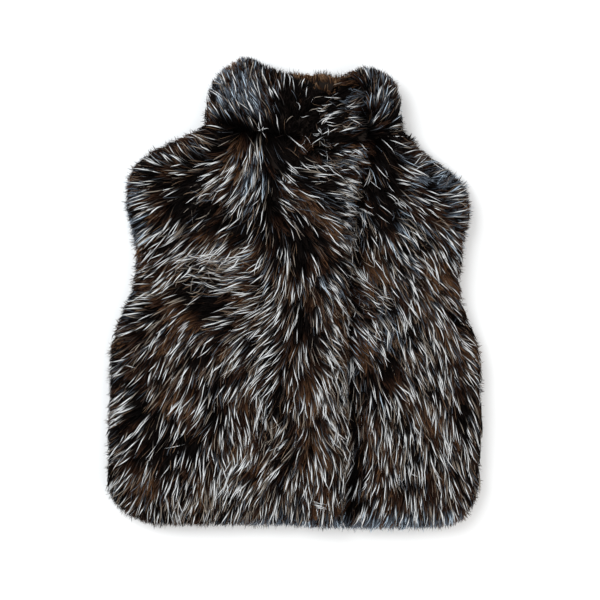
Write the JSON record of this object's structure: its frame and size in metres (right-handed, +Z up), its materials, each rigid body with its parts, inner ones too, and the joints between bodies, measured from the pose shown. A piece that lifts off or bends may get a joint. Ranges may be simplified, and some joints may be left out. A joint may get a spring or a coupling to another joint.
{
  "type": "faux fur vest",
  "caption": "Short sleeveless vest of long dark faux fur with a stand collar, laid flat on its back, its fronts lapped and closed.",
  "frame": {"origin": "on the floor under the middle of the garment's outline, laid flat on its back", "axes": "+X to the wearer's left, +Y from the hem to the collar, +Z up from the floor through the back to the fronts"},
  "size_m": [0.4793, 0.6049, 0.059],
  "materials": {
    "back_fur": "long soft faux fur pile, near black",
    "front_fur": "long soft faux fur pile, dark brown to black with white guard-hair tips",
    "facing_fur": "short faux fur pile, brown",
    "collar_fur": "long soft faux fur pile, near black with blue-grey sheen and white tips"
  },
  "bodies": {
    "root": {"back": "back_fur", "front_right": "front_fur", "front_left": "front_fur", "collar_back": "back_fur", "collar_facing": "facing_fur", "collar_front_right": "collar_fur", "collar_front_left": "collar_fur"}
  },
  "joints": []
}
